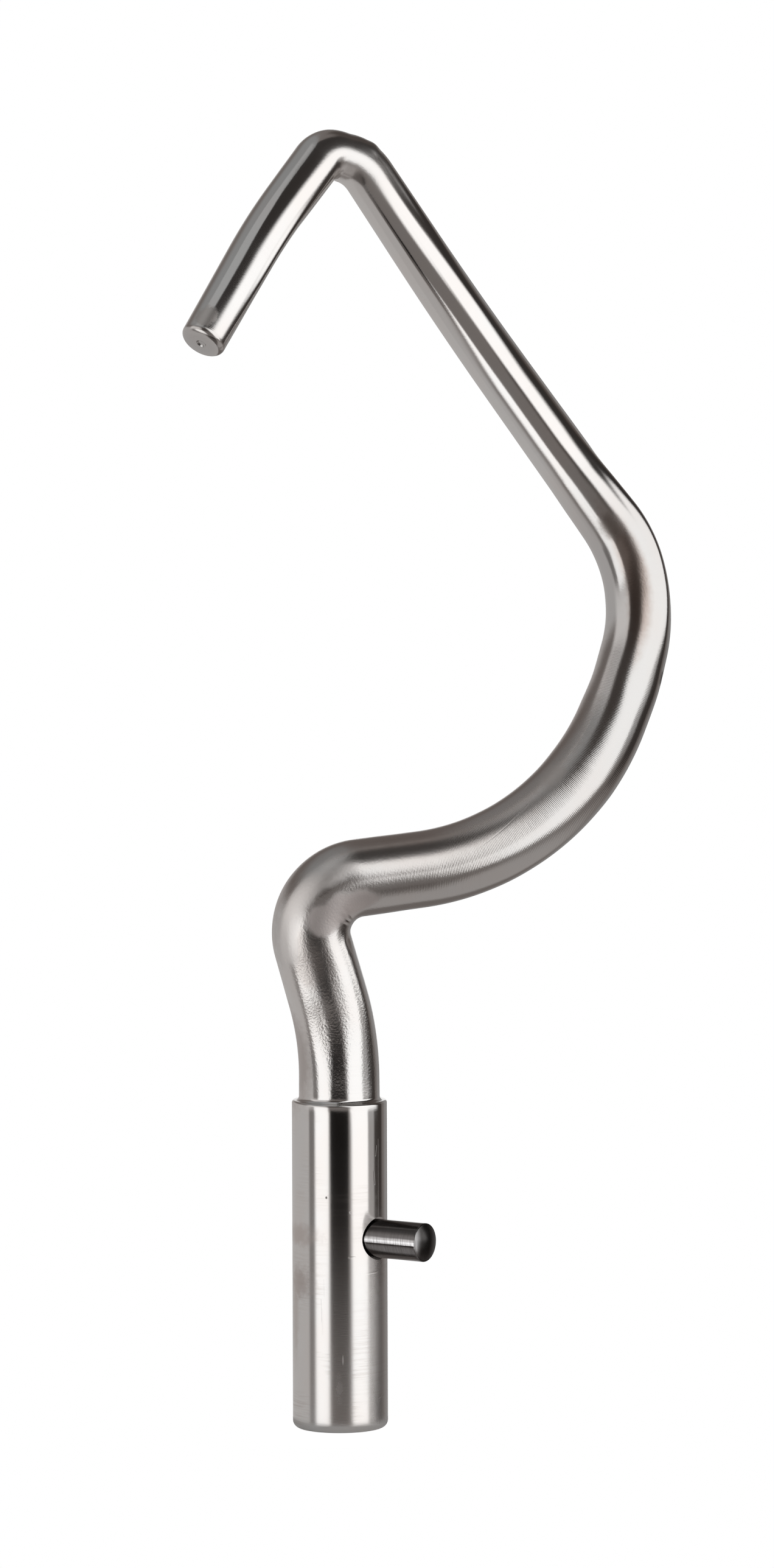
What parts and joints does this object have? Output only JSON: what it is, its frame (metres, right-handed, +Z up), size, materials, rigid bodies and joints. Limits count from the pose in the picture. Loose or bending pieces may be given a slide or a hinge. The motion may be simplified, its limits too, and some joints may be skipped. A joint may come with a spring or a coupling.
{
  "type": "stand mixer dough hook",
  "caption": "Bent steel dough hook with a tapering round bar, a plain turned shank and a cross pin that locks it in a stand mixer's socket.",
  "frame": {"origin": "centre of the shank's flat free end", "axes": "+Z up the shank's axis towards the hook, -Y to the front where the bar leans out, +X to the side that the arm swings to"},
  "size_m": [0.0816, 0.0422, 0.2178],
  "materials": {
    "hook_steel": "polished and finely brushed stainless steel",
    "pin_steel": "ground hard steel, darker than the bar"
  },
  "bodies": {
    "root": {"hook": "hook_steel", "drive_pin": "pin_steel"}
  },
  "joints": []
}
